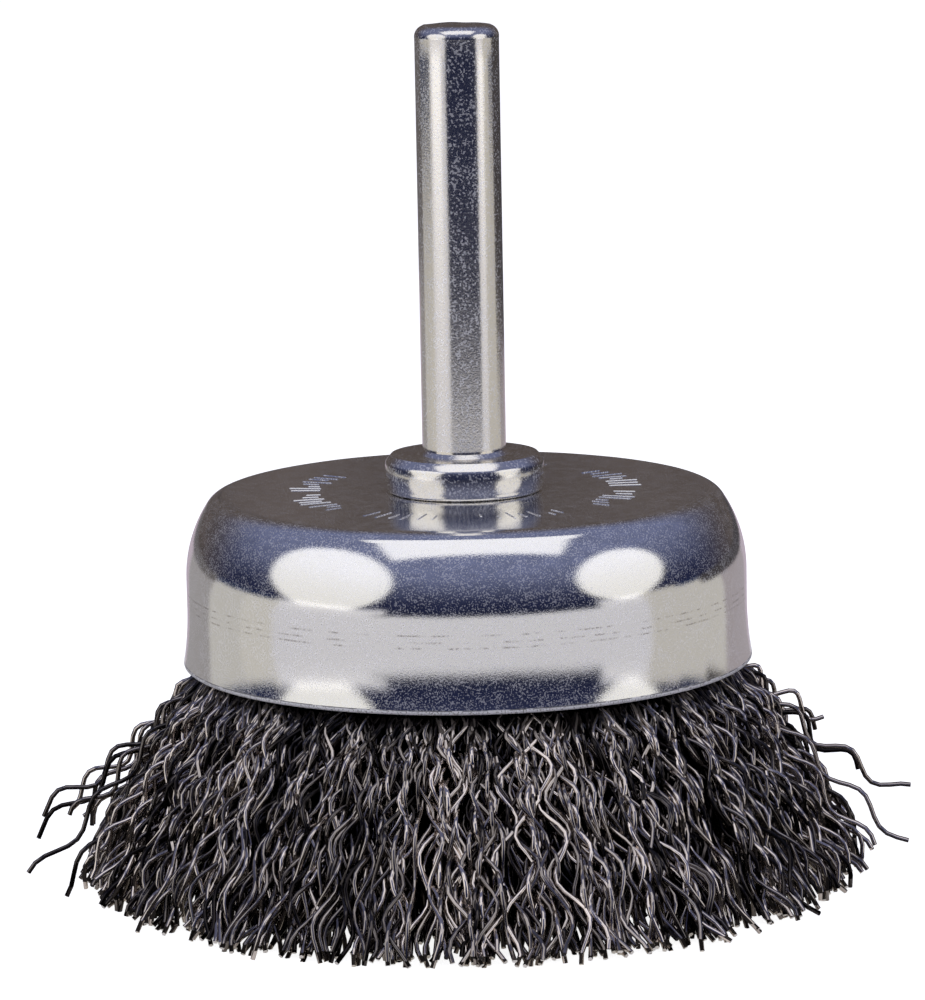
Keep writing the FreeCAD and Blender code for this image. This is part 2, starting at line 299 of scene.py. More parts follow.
class TurnedPart:
    """A part turned or pressed about the Z axis, closed all round."""

    name: str = "turned_part"
    slot: Slot = Slot.SPINDLE
    node: str = "spindle"
    segments: int = 200
    is_ring: bool = True
    sharp_degrees: float = 28.0

    def profile(self) -> list[Point]:
        """The outline. That of a ring goes down the outside and up the inside, others from axis to axis."""
        raise NotImplementedError

    def wear(self, spot: Vector) -> None:
        """Moves one point of the surface a little off the true shape."""

    def build(self, plating: bpy.types.Material) -> None:
        """Builds and dresses the part.

        Args:
            plating: its finish.
        """
        points = distinct(self.profile())
        if self.is_ring and math.dist(points[0], points[-1]) < SAME_PLACE:
            points.pop()
        vertices: list[Spot] = []
        rings: list[list[int]] = []
        for radius, height in points:
            if radius < SAME_PLACE:
                rings.append([len(vertices)] * self.segments)
                vertices.append((0.0, 0.0, height))
                continue
            rings.append(list(range(len(vertices), len(vertices) + self.segments)))
            for k in range(self.segments):
                angle = math.tau * k / self.segments
                vertices.append((radius * math.cos(angle), radius * math.sin(angle), height))
        pairs = list(zip(rings, rings[1:]))
        if self.is_ring:
            pairs.append((rings[-1], rings[0]))
        faces = []
        for upper, lower in pairs:
            for k in range(self.segments):
                j = (k + 1) % self.segments
                faces.append(tuple(dict.fromkeys((upper[k], lower[k], lower[j], upper[j]))))
        piece = new_piece(self.name, vertices, faces, plating)
        piece.data.shade_smooth()
        piece.data.set_sharp_from_angle(angle=math.radians(self.sharp_degrees))
        for vertex in piece.data.vertices:
            self.wear(vertex.co)
        place(piece, self.slot, self.node)


# Finishes


@dataclass(frozen=True)
class Finish:
    """What every finish shares: one material with a Principled shader."""

    name: str = "finish"

    def start(self) -> tuple[bpy.types.Material, NodeBench, bpy.types.Node]:
        """The new material, its bench and its Principled shader."""
        material = bpy.data.materials.new(self.name)
        material.use_nodes = True
        return material, NodeBench(material.node_tree), material.node_tree.nodes["Principled BSDF"]


@dataclass(frozen=True)
class ZincPlating(Finish):
    """Bright zinc with dull specks that show in its dark parts, and dark lines of painted shade on the wall.
    """

    name: str = "zinc"
    bright: Colour = (0.80, 0.785, 0.745)
    cool: Colour = (0.64, 0.68, 0.775)
    cool_share: float = 0.16
    cool_levels: Range = (0.50, 0.66)
    roughness: float = 0.06
    speck_colour: Colour = (0.97, 0.955, 0.93)
    speck_share: float = 0.31
    speck_roughness: float = 0.13
    grain_scale: float = 11000.0
    grain_level: float = 0.53
    grain_blend: float = 0.08
    grain_depth: float = 0.0028 * MM
    fleck_ratio: float = 0.83
    mottle_scale: float = 900.0
    mottled_specks: float = 0.3
    mottled_colour: float = 0.2
    mottled_roughness: float = 0.03
    shade_line_heights: tuple[float, ...] = ()
    line_width: float = 0.10 * MM
    # The colour of the painted shade lines, and of the worn flecks on the rim band.
    shade_line_and_wear_colour: Colour = (0.42, 0.39, 0.35)
    line_mottle_levels: Range = (0.46, 0.58)
    line_fleck_levels: Range = (0.36, 0.56)
    edge_height: float = 0.0
    edge_blend: float = 0.05 * MM
    edge_colour: Colour = (0.92, 0.90, 0.87)
    edge_share: float = 0.88
    edge_roughness: float = 0.3
    worn_levels: Range = (0.54, 0.64)
    rim_line_colour: Colour = (0.06, 0.055, 0.05)
    rim_line_levels: Range = (0.42, 0.50)

    def make(self) -> bpy.types.Material:
        """Builds the material."""
        material, bench, shader = self.start()
        here = bench.here()
        height = bench.split(here)[2]
        grain = bench.speckle(here, self.grain_scale, detail=2.0, rough=0.6)
        fleck = bench.speckle(here, self.grain_scale * self.fleck_ratio, detail=1.0)
        mottle = bench.speckle(here, self.mottle_scale, detail=3.0, rough=0.6)
        uneven = mottle - 0.5
        level = fleck + uneven * self.mottled_specks
        specks = bench.rise(level, self.grain_level, self.grain_level + self.grain_blend)
        cool = bench.rise(grain, *self.cool_levels) * self.cool_share + uneven * self.mottled_colour
        colour = bench.blend(self.bright, self.cool, bench.clamp(cool))
        colour = bench.blend(colour, self.speck_colour, specks)
        rough = self.roughness + specks * (self.speck_roughness - self.roughness)
        rough = rough + uneven * self.mottled_roughness
        dull = specks * self.speck_share
        # Painted shade: a dark line across the wall at each given height, broken by the mottle.
        for centre in self.shade_line_heights:
            away = bench.math("ABSOLUTE", height + uneven * self.line_width - centre)
            broken = bench.rise(mottle, *self.line_mottle_levels) * bench.rise(fleck, *self.line_fleck_levels)
            line = (1.0 - bench.rise(away, 0.0, self.line_width)) * broken
            colour = bench.blend(colour, self.shade_line_and_wear_colour, line)
        if self.edge_height:
            edge = 1.0 - bench.rise(height, self.edge_height, self.edge_height + self.edge_blend)
            worn = bench.blend(self.edge_colour, self.shade_line_and_wear_colour, bench.rise(fleck, *self.worn_levels))
            colour = bench.blend(colour, worn, edge)
            # A near-black line along the top of the rim band, broken by the mottle.
            rim_line = edge * bench.rise(height, self.edge_height - self.edge_blend, self.edge_height)
            rim_line = rim_line * bench.rise(mottle, *self.rim_line_levels)
            colour = bench.blend(colour, self.rim_line_colour, rim_line)
            rough = rough + edge * self.edge_roughness
            dull = bench.clamp(dull + edge * self.edge_share)
        bench.fill(shader, {"Base Color": colour, "Metallic": 1.0 - dull, "Roughness": rough})
        bench.dent(shader, grain, self.grain_depth)
        return material


@dataclass(frozen=True)
class WireSteel(Finish):
    """Dark drawn steel with bright cut ends, each wire in a random tone darkened by painted shade deep in and
    under the rim.
    """

    name: str = "wire_steel"
    dark: Colour = (0.024, 0.021, 0.020)
    pale: Colour = (0.84, 0.75, 0.67)
    cut: Colour = (0.78, 0.75, 0.71)
    roughness: float = 0.065
    patch_scale: float = 420.0
    patch_share: float = 0.7
    grit_scale: float = 7000.0
    grit_share: float = 0.10
    draw_depth: float = 0.002 * MM

    def make(self) -> bpy.types.Material:
        """Builds the material."""
        material, bench, shader = self.start()
        here = bench.here()
        tone_and_shade, cut = self.read(bench, "tone_and_shade"), self.read(bench, "cut")
        patch = bench.speckle(here, self.patch_scale, detail=3.0)
        grit = bench.speckle(here, self.grit_scale, detail=2.0)
        # The body colour carries each wire's random tone and its painted shade.
        body = bench.blend(self.dark, self.pale, bench.clamp(tone_and_shade + (patch - 0.5) * self.patch_share))
        rough = self.roughness + (grit - 0.5) * self.grit_share
        colour = bench.blend(body, self.cut, cut)
        bench.fill(shader, {"Base Color": colour, "Metallic": 1.0, "Roughness": rough})
        bench.dent(shader, grit, self.draw_depth)
        return material

    @staticmethod
    def read(bench: NodeBench, name: str) -> Quantity:
        """The value of a number that the piece's mesh carries."""
        made = bench.node("ShaderNodeAttribute", attribute_name=name)
        return Quantity(bench, made.outputs["Fac"])


# The spindle


@dataclass(frozen=True)
class Spindle(TurnedPart):
    """Shank, collar, tail and rivet head, turned from one bar."""

    name: str = "turned_spindle"
    is_ring: bool = False
    shank_radius: float = 3.0 * MM
    tip_land_radius: float = 2.375 * MM
    land_radii: Range = (0.8 * MM, 1.6 * MM)
    tip_z: float = 60.8 * MM
    tip_round_z: float = 59.85 * MM
    tip_bulge: Point = (2.8475 * MM, 60.485 * MM)
    neck_line: float = 0.11 * MM
    cone: float = 0.24 * MM
    collar_top_z: float = 30.2 * MM
    collar_foot_z: float = 27.5 * MM
    shoulder_top: Point = (5.25 * MM, 30.2 * MM)
    shoulder_middle: Point = (5.475 * MM, 29.945 * MM)
    barrel_top: Point = (5.67 * MM, 29.66 * MM)
    barrel_middle: Point = (5.75 * MM, 28.80 * MM)
    barrel_foot: Point = (5.62 * MM, 27.84 * MM)
    foot_round: float = 0.32 * MM
    foot_degrees: float = -8.0
    tail_radius: float = 3.2 * MM
    head_radius: float = 4.8 * MM
    head_top_z: float = 25.3 * MM
    head_edge_z: float = 24.8 * MM
    head_bottom_z: float = 23.6 * MM
    groove_pitch: float = 0.30 * MM
    groove_depth: float = 0.020 * MM
    groove_pace: float = 0.37
    groove_seed: float = 3.1
    end_depth: float = 0.02 * MM
    end_roughness: float = 0.05 * MM
    end_scale: float = 900.0

    def grooved(self, start: Point, end: Point) -> list[Point]:
        """A line with the tool's feed marks on the right of the way.

        Args:
            start: its first point.
            end: its last point.

        Returns:
            The points, ends included.
        """
        run = math.dist(start, end)
        steps = max(2, 2 * round(run / self.groove_pitch / 2))
        side = ((end[1] - start[1]) / run, (start[0] - end[0]) / run)
        made = []
        for i, (radius, height) in enumerate(line_points(start, end, steps)):
            swell = 0.5 + 0.5 * noise.noise(Vector((i * self.groove_pace, self.groove_seed, 0.0)))
            sunk = -self.groove_depth * swell if i % 2 and 0 < i < steps else 0.0
            made.append((radius - side[0] * sunk, height - side[1] * sunk))
        return made

    def profile(self) -> list[Point]:
        """The whole outline, from the middle of the shank's end to the middle of the rivet head."""
        tip_edge = (self.shank_radius, self.tip_round_z)
        land = [(radius, self.tip_z) for radius in (0.0, *self.land_radii)]
        tip = arc_through((self.tip_land_radius, self.tip_z), self.tip_bulge, tip_edge, steps=14)
        neck_z = self.collar_top_z + self.cone + self.neck_line
        shank = line_points(tip_edge, (self.shank_radius, neck_z + self.neck_line), steps=20)
        neck = [
            (self.shank_radius - self.neck_line, neck_z),
            (self.shank_radius, neck_z - self.neck_line),
            (self.shank_radius + self.cone, self.collar_top_z),
        ]
        face = self.grooved(neck[-1], self.shoulder_top)
        shoulder = arc_through(self.shoulder_top, self.shoulder_middle, self.barrel_top, steps=8)
        barrel = arc_through(self.barrel_top, self.barrel_middle, self.barrel_foot, steps=14)
        foot_centre = (self.barrel_foot[0] - self.foot_round, self.collar_foot_z + self.foot_round)
        foot = arc_points(foot_centre, self.foot_round, self.foot_degrees, -90, steps=8)
        tail = [
            (self.tail_radius, self.collar_foot_z),
            (self.tail_radius, self.head_top_z),
            (self.head_radius, self.head_top_z),
        ]
        drop = self.head_edge_z - self.head_bottom_z
        dome_radius = (self.head_radius**2 + drop**2) / (2 * drop)
        spread = math.degrees(math.asin(self.head_radius / dome_radius))
        dome = arc_points((0.0, self.head_bottom_z + dome_radius), dome_radius, -90 + spread, -90, steps=12)
        return land + tip + shank + neck + face + shoulder + barrel + foot + tail + dome

    def wear(self, spot: Vector) -> None:
        """Leaves the shank's end face a little uneven."""
        if spot.z > self.tip_z - self.end_depth:
            spot.z += self.end_roughness * noise.noise(spot * self.end_scale)


# The cups


@dataclass(frozen=True)
class OuterCup(TurnedPart):
    """The pressed cup: a flat top, a crowned wall and a flared skirt with a sheared rim."""

    name: str = "pressed_outer_cup"
    slot: Slot = Slot.OUTER_CUP
    node: str = "outer_cup"
    segments: int = 256
    hole_radius: float = 3.25 * MM
    top_z: float = 27.5 * MM
    flat_radius: float = 17.30 * MM
    corner_radius: float = 1.5 * MM
    corner_z: float = 26.0 * MM
    crown_centre: Point = (10.96 * MM, 21.7 * MM)
    crown_radius: float = 9.16 * MM
    crown_degrees: float = 34.15
    flare_z: float = 19.4 * MM
    flare_centre_radius: float = 43.12 * MM
    flare_radius: float = 23.0 * MM
    flare_degrees: float = 10.14
    sheet: float = 1.0 * MM
    rim_round: float = 0.16 * MM
    rim_gap: float = 0.05 * MM
    waviness: float = 0.012 * MM
    wave_scale: float = 260.0
    calm_radius: float = 7.0 * MM
    shoulder_z: float = 24.6 * MM

    def skin(self, depth: float) -> list[Point]:
        """The outline at a depth below the outside, from the hole to the rim."""
        top = self.top_z - depth
        flat = line_points((self.hole_radius, top), (self.flat_radius, top), steps=24)
        corner_centre = (self.flat_radius, self.corner_z)
        corner = arc_points(corner_centre, self.corner_radius - depth, 90, self.crown_degrees, steps=10)
        crown = arc_points(self.crown_centre, self.crown_radius - depth, self.crown_degrees, 0, steps=26)
        wall_radius = self.crown_centre[0] + self.crown_radius - depth
        wall = line_points((wall_radius, self.crown_centre[1]), (wall_radius, self.flare_z), steps=6)
        flare_centre = (self.flare_centre_radius, self.flare_z)
        flare = arc_points(flare_centre, self.flare_radius + depth, 180, 180 + self.flare_degrees, steps=18)
        return flat + corner + crown + wall + flare

    def profile(self) -> list[Point]:
        """The whole outline, down the outside, round the rim and up the inside."""
        outside, inside = self.skin(0.0), self.skin(self.sheet)
        rim = outside[-1]
        way = math.radians(self.flare_degrees)
        along = (math.sin(way), -math.cos(way))
        across = (-math.cos(way), -math.sin(way))
        centre = tuple(rim[i] - along[i] * self.rim_round + across[i] * self.rim_round for i in range(2))
        rounded = arc_points(centre, self.rim_round, self.flare_degrees, self.flare_degrees - 90, steps=8)
        kept = [point for point in outside if point[1] > rounded[0][1] + self.rim_gap]
        return kept + rounded + inside[::-1]

    def wear(self, spot: Vector) -> None:
        """Makes the pressed sheet a little wavy: up and down on top, in and out on the wall."""
        away = math.hypot(spot.x, spot.y)
        if away > self.calm_radius:
            ripple = self.waviness * noise.noise(spot * self.wave_scale)
            upness = min(1.0, max(0.0, (spot.z - self.shoulder_z) / (self.top_z - self.shoulder_z)))
            spot.z += ripple * upness
            spot.x += ripple * (1.0 - upness) * spot.x / away
            spot.y += ripple * (1.0 - upness) * spot.y / away


@dataclass(frozen=True)
class StampedTicks:
    """Groups of plain raised ticks on the cup's flat top, in place of any wording."""

    name: str = "stamped_ticks"
    groups: tuple[Range, ...] = (
        (-126.0, -96.0), (-84.0, -54.0), (-34.0, -12.0), (6.0, 34.0),
        (52.0, 80.0), (94.0, 124.0), (150.0, 200.0),
    )
    step_degrees: float = 4.6
    scatter_degrees: float = 0.6
    seed: int = 5
    middle_radius: float = 11.6 * MM
    longest: float = 2.5 * MM
    shortest: float = 0.9 * MM
    width: float = 0.20 * MM
    ridge_share: float = 0.35
    rise: float = 0.05 * MM
    sunk: float = 0.02 * MM
    top_z: float = 27.5 * MM

    def build(self, plating: bpy.types.Material) -> None:
        """Builds and dresses the ticks.

        Args:
            plating: their finish.
        """
        chance = random.Random(self.seed)
        vertices: list[Spot] = []
        faces: list[tuple[int, ...]] = []
        for start, end in self.groups:
            for i in range(round((end - start) / self.step_degrees) + 1):
                scatter = chance.uniform(-self.scatter_degrees, self.scatter_degrees)
                turn = math.radians(start + i * self.step_degrees + scatter)
                length = chance.uniform(self.shortest, self.longest)
                middle = self.middle_radius + chance.uniform(-0.5, 0.5) * (self.longest - length)
                first = len(vertices)
                vertices.extend(self.tick(turn, middle, length))
                faces.append((first + 3, first + 2, first + 1, first))
                faces.append((first + 4, first + 5, first + 6, first + 7))
                for k in range(4):
                    j = (k + 1) % 4
                    faces.append((first + k, first + j, first + 4 + j, first + 4 + k))
        place(new_piece(self.name, vertices, faces, plating), Slot.OUTER_CUP)

    def tick(self, turn: float, middle: float, length: float) -> list[Spot]:
        """The corners of one tick, a low ridge with a sloping side all round.

        Args:
            turn: the tick's azimuth from the front towards +X.
            middle: the distance of its middle from the axis.
            length: its length along the radius.

        Returns:
            Four corners of its foot, then four of its ridge.
        """
        corners = []
        for share, level in ((1.0, self.top_z - self.sunk), (self.ridge_share, self.top_z + self.rise)):
            for out, side in ((-0.5, -0.5), (0.5, -0.5), (0.5, 0.5), (-0.5, 0.5)):
                radius = middle + out * (length - (1.0 - share) * self.width)
                across = side * self.width * share
                x = radius * math.sin(turn) + across * math.cos(turn)
                y = -radius * math.cos(turn) + across * math.sin(turn)
                corners.append((x, y, level))
        return corners


@dataclass(frozen=True)
class InnerCup(TurnedPart):
    """The small cup that clamps the folded wires, riveted below the outer one."""

    name: str = "pressed_inner_cup"
    slot: Slot = Slot.INNER_CUP
    node: str = "inner_cup"
    segments: int = 160
    hole_radius: float = 3.25 * MM
    wall_radius: float = 11.42 * MM
    top_z: float = 26.5 * MM
    corner_radius: float = 2.2 * MM
    sheet: float = 1.2 * MM
    mouth_centre: Point = (13.02 * MM, 20.05 * MM)
    mouth_radius: float = 1.6 * MM
    mouth_degrees: float = 40.0

    def skin(self, depth: float) -> list[Point]:
        """The outline at a depth below the outside, from the hole to the mouth."""
        top = self.top_z - depth
        corner_centre = (self.wall_radius - self.corner_radius, self.top_z - self.corner_radius)
        flat = line_points((self.hole_radius, top), (corner_centre[0], top), steps=8)
        corner = arc_points(corner_centre, self.corner_radius - depth, 90, 0, steps=12)
        mouth_end = 180 + self.mouth_degrees
        mouth = arc_points(self.mouth_centre, self.mouth_radius + depth, 180, mouth_end, steps=10)
        return flat + corner + mouth

    def profile(self) -> list[Point]:
        """The whole outline, down the outside and up the inside."""
        return self.skin(0.0) + self.skin(self.sheet)[::-1]


# The wires


@dataclass(frozen=True)
class WireRun:
    """One run of the wire tree: where its wires start, how far they spread and how they are crimped."""

    wires: int = 74
    seed: int = 1
    azimuth: float = 0.0
    sector: float = math.radians(15.0)
    outer_rim_radius: float = 18.6 * MM
    inner_rim_radius: float = 13.5 * MM
    outer_tip_radius: float = 27.2 * MM
    inner_tip_radius: float = 15.2 * MM
    tip_scatter: float = 1.5 * MM
    tip_z: float = 0.16 * MM
    tip_z_scatter: float = 0.7 * MM
    straight_z: float = 15.6 * MM
    knee_drop: float = 6.0 * MM
    spring: float = 4.6 * MM
    lean: float = 0.0
    lean_scatter: float = math.radians(9.5)
    phase: float = 0.0
    phase_scatter: float = 1.0
    plane: float = 0.0
    plane_scatter: float = 1.0
    pitch: float = 5.8 * MM
    amplitude: float = 0.76 * MM
    gauge: float = 0.36 * MM
    depth_scatter: float = 1.0


class WireTree:
    """The node tree that draws wires folded over the ring and crimped below the rim."""

    ring_radius: float = 15.27 * MM
    ring_z: float = 22.65 * MM
    closest_fold: float = 1.40 * MM
    widest_fold: float = 3.55 * MM
    outer_stations: int = 33
    fold_stations: int = 3
    inner_stations: int = 9
    channel_share: float = 0.09
    sides: int = 5
    clump: int = 2
    loose_share: float = 0.62
    loose_key: float = 1000.0
    own_key: float = 5000.0
    seed_step: float = 100.0
    outward_bias: float = 2.6
    depth_jitter: float = 0.16
    leg_spread: float = 1.4
    own_spread: float = 0.6
    inner_spring: float = 0.10
    deep_shade: float = 2.4
    rim_shade: float = 0.75
    rim_shade_end: float = 0.22
    middle_tone: float = 0.44
    pitch_least: float = 0.94
    pitch_spread: float = 0.12
    phase_jitter: float = 0.12
    height_least: float = 0.82
    height_spread: float = 0.3
    sideways_start: Range = (-0.04, 0.1)
    outwards_start: Range = (0.1, 0.26)
    wobble_width: float = 0.22 * MM
    wobble_turn: float = 7.0
    lean_jitter: float = 0.3
    sector_jitter: float = 0.12

    def __init__(self, steel: bpy.types.Material) -> None:
        """Args: steel: the wires' finish."""
        self.tree = bpy.data.node_groups.new("folded_crimped_wires", "GeometryNodeTree")
        self.bench = NodeBench(self.tree)
        self.tree.interface.new_socket(name="Geometry", in_out="INPUT", socket_type="NodeSocketGeometry")
        self.tree.interface.new_socket(name="Geometry", in_out="OUTPUT", socket_type="NodeSocketGeometry")
        for name, value in vars(WireRun()).items():
            kind = "NodeSocketInt" if isinstance(value, int) else "NodeSocketFloat"
            self.tree.interface.new_socket(name=name, in_out="INPUT", socket_type=kind)
        self.given = self.bench.node("NodeGroupInput")
        self.draws = 0
        self.tone_and_shade: Number = 0.0
        self.draw_wires(steel)

    def input(self, name: str) -> Quantity:
        """One of the tree's named inputs."""
        return Quantity(self.bench, self.given.outputs[name])

    def random(self, key: Number) -> Quantity:
        """A random number from 0 to 1 for each key, different at each call."""
        self.draws += 1
        given = {"ID": key, "Seed": self.input("seed") * self.seed_step + float(self.draws)}
        made = self.bench.node("FunctionNodeRandomValue", given, data_type="FLOAT")
        return Quantity(self.bench, made.outputs[1])

    def swing(self, key: Number) -> Quantity:
        """A random number from -0.5 to 0.5 for each key, different at each call."""
        return self.random(key) - 0.5

    def store(
        self, geometry: bpy.types.NodeSocket, name: str, value: Number, domain: str = "POINT"
    ) -> bpy.types.NodeSocket:
        """Writes a number on the geometry.

        Args:
            geometry: the geometry's socket.
            name: the number's name.
            value: the number.
            domain: what carries it.

        Returns:
            The geometry that carries it.
        """
        given = {"Geometry": geometry, "Name": name, "Value": value}
        kind = "GeometryNodeStoreNamedAttribute"
        return self.bench.node(kind, given, data_type="FLOAT", domain=domain).outputs[0]

    def read(self, name: str) -> Quantity:
        """A number that the geometry carries."""
        made = self.bench.node("GeometryNodeInputNamedAttribute", {"Name": name}, data_type="FLOAT")
        return Quantity(self.bench, made.outputs["Attribute"])

    def strands(self) -> bpy.types.NodeSocket:
        """One curve for each wire, its points numbered by the stored numbers wire and station."""
        bench = self.bench
        points = bench.node("GeometryNodePoints", {"Count": self.input("wires")})
        index = Quantity(bench, bench.node("GeometryNodeInputIndex").outputs[0])
        numbered = self.store(points.outputs[0], "wire", index)
        amount = self.outer_stations + self.fold_stations + self.inner_stations + 1
        given = {"Geometry": numbered, "Amount": amount}
        copies = bench.node("GeometryNodeDuplicateElements", given, domain="POINT")
        stationed = self.store(copies.outputs[0], "station", Quantity(bench, copies.outputs[1]))
        given = {"Points": stationed, "Curve Group ID": self.read("wire"), "Weight": self.read("station")}
        return bench.node("GeometryNodePointsToCurves", given).outputs[0]

    def position(self) -> bpy.types.NodeSocket:
        """Where each point of each wire lies."""
        bench, mix, clamp = self.bench, self.bench.mix, self.bench.clamp
        wire, station = self.read("wire"), self.read("station")
        fold_start = float(self.outer_stations)
        fold_end = float(self.outer_stations + self.fold_stations)
        is_inner = bench.math("GREATER_THAN", station, fold_start + self.fold_stations / 2)
        is_loose = bench.math("LESS_THAN", self.random(wire), self.loose_share)
        clump = bench.math("FLOOR", wire / float(self.clump))
        key = mix(clump, wire + self.loose_key, is_loose)
        leg = key * 2.0 + is_inner
        own_leg = wire * 2.0 + is_inner + self.own_key

        depth = bench.math("POWER", self.random(key), self.outward_bias)
        depth = clamp(depth * self.input("depth_scatter") + self.swing(wire) * self.depth_jitter)
        rank = mix(depth * 0.5, 1.0 - depth * 0.5, is_inner)
        fold = mix(self.widest_fold, self.closest_fold, depth)
        share_out = clamp(1.0 - station / fold_start)
        share_in = clamp((station - fold_end) / float(self.inner_stations))
        share = share_out + share_in
        turn = clamp((station - fold_start) / float(self.fold_stations)) * math.pi
        fold_r = self.ring_radius + fold * bench.math("COSINE", turn)
        fold_z = self.ring_z + fold * bench.math("SINE", turn)

        above = clamp(share / self.channel_share)
        t = clamp((share - self.channel_share) / (1.0 - self.channel_share))
        # Painted shade: deeper wires and the stretch just under the rim get a darker tone, where the brush
        # shades them.
        shade = rank * self.deep_shade + (1.0 - bench.rise(t, 0.0, self.rim_shade_end)) * self.rim_shade
        self.tone_and_shade = clamp(self.middle_tone - shade + self.swing(leg))
        rim_r = mix(self.input("outer_rim_radius"), self.input("inner_rim_radius"), rank)
        scatter = self.swing(leg) * self.leg_spread + self.swing(own_leg) * self.own_spread
        tip_r = mix(self.input("outer_tip_radius"), self.input("inner_tip_radius"), rank)
        tip_r = tip_r + scatter * self.input("tip_scatter")
        tip_drop = self.random(own_leg)
        tip_z = self.input("tip_z") + tip_drop * tip_drop * self.input("tip_z_scatter")
        spring = self.input("spring") * mix(1.0, self.inner_spring, rank)
        knee = 2.0 * t * (1.0 - t)
        end = t * t
        straight_z, knee_drop = self.input("straight_z"), self.input("knee_drop")
        spine_r = fold_r + (rim_r - fold_r) * above + spring * knee + (tip_r - rim_r) * end
        spine_z = fold_z + (straight_z - fold_z) * above - knee_drop * knee + (tip_z - straight_z) * end

        way_r = (1.0 - t) * spring + t * (tip_r - rim_r - spring)
        way_z = (t - 1.0) * knee_drop + t * (tip_z - straight_z + knee_drop)
        way = bench.math("SQRT", way_r * way_r + way_z * way_z)
        length = bench.math("SQRT", (tip_r - rim_r) * (tip_r - rim_r) + straight_z * straight_z)

        pitch = self.input("pitch") * (self.pitch_least + self.random(leg) * self.pitch_spread)
        start = self.random(leg) + self.swing(own_leg) * self.phase_jitter
        start = self.input("phase") + start * self.input("phase_scatter")
        angle = (t * length / pitch + start) * math.tau
        plane = (self.input("plane") + self.random(leg) * self.input("plane_scatter")) * math.tau
        height = self.input("amplitude") * (self.height_least + self.random(leg) * self.height_spread)
        height = height * bench.math("SINE", angle)
        sideways = height * bench.math("COSINE", plane) * bench.rise(t, *self.sideways_start)
        outwards = height * bench.math("SINE", plane) * bench.rise(t, *self.outwards_start)
        wobble = bench.math("SINE", t * self.wobble_turn + self.random(leg) * math.tau)
        wobble = wobble * self.wobble_width * t
        radius = spine_r - outwards * way_z / way
        level = spine_z + outwards * way_r / way

        sway = self.random(leg) + self.random(leg) - 1.0 + self.swing(own_leg) * self.lean_jitter
        lean = self.input("lean") + sway * self.input("lean_scatter")
        azimuth = self.input("azimuth") + self.swing(key) * self.input("sector")
        azimuth = azimuth + self.swing(wire) * self.input("sector") * self.sector_jitter
        azimuth = azimuth + lean * t + (sideways + wobble) / radius
        across, along = bench.math("COSINE", azimuth), bench.math("SINE", azimuth)
        return bench.vector(radius * across, radius * along, level)

    def draw_wires(self, steel: bpy.types.Material) -> None:
        """Fills the tree.

        Args:
            steel: the wires' finish.
        """
        bench = self.bench
        given = {"Geometry": self.strands(), "Position": self.position()}
        placed = bench.node("GeometryNodeSetPosition", given)
        # Stores each wire's random tone with its painted shade, for the material.
        toned = self.store(placed.outputs[0], "tone_and_shade", self.tone_and_shade)
        given = {"Resolution": self.sides, "Radius": self.input("gauge") / 2.0}
        section = bench.node("GeometryNodeCurvePrimitiveCircle", given, mode="RADIUS")
        given = {"Curve": toned, "Profile Curve": section.outputs[0], "Fill Caps": True}
        tubes = bench.node("GeometryNodeCurveToMesh", given)
        corners = Quantity(bench, bench.node("GeometryNodeInputMeshFaceNeighbors").outputs["Vertex Count"])
        is_cut = bench.math("GREATER_THAN", corners, self.sides - 0.5)
        marked = self.store(tubes.outputs[0], "cut", is_cut, "FACE")
        smooth = bench.node("GeometryNodeSetShadeSmooth", {"Geometry": marked, "Shade Smooth": 1.0 - is_cut})
        joined = bench.node("GeometryNodeJoinGeometry", {0: smooth.outputs[0]})
        bench.feed(joined.inputs[0], self.given.outputs["Geometry"])
        real = bench.node("GeometryNodeRealizeInstances", {0: joined.outputs[0]})
        dressed = bench.node("GeometryNodeSetMaterial", {"Geometry": real.outputs[0], "Material": steel})
        bench.node("NodeGroupOutput", {0: dressed.outputs[0]})

    def add_to(self, piece: bpy.types.Object, run: WireRun) -> None:
        """Draws one run's wires into a piece.

        Args:
            piece: the mesh object that gets them.
            run: what to draw.
        """
        modifier = piece.modifiers.new("wires", "NODES")
        modifier.node_group = self.tree
        sockets = self.tree.interface.items_tree
        names = {item.name: item.identifier for item in sockets if item.in_out == "INPUT"}
        for name, value in vars(run).items():
            modifier[names[name]] = value
        graph = bpy.context.evaluated_depsgraph_get()
        made = bpy.data.meshes.new_from_object(piece.evaluated_get(graph))
        piece.modifiers.remove(modifier)
        old = piece.data
        piece.data = made
        bpy.data.meshes.remove(old)
        made.name = piece.name


@dataclass(frozen=True)
class Stray:
    """A wire that stands out of the trim."""

    azimuth_degrees: float
    tip_radius: float
    tip_z: float
    phase: float = 0.0
    plane: float = 0.25
    lean_degrees: float = 0.0
    spring: float = 4.0
    knee_drop: float = 5.6
    amplitude: float = 0.62

    def run(self, seed: int) -> WireRun:
        """The run of the wire tree that draws it."""
        return WireRun(
            wires=1,
            seed=seed,
            azimuth=math.radians(self.azimuth_degrees),
            sector=0.0,
            outer_tip_radius=self.tip_radius * MM,
            tip_scatter=0.0,
            tip_z=self.tip_z * MM,
            tip_z_scatter=0.0,
            spring=self.spring * MM,
            knee_drop=self.knee_drop * MM,
            lean=math.radians(self.lean_degrees),
            lean_scatter=0.0,
            phase=self.phase,
            phase_scatter=0.0,
            plane=self.plane,
            plane_scatter=0.0,
            amplitude=self.amplitude * MM,
            depth_scatter=0.0,
        )


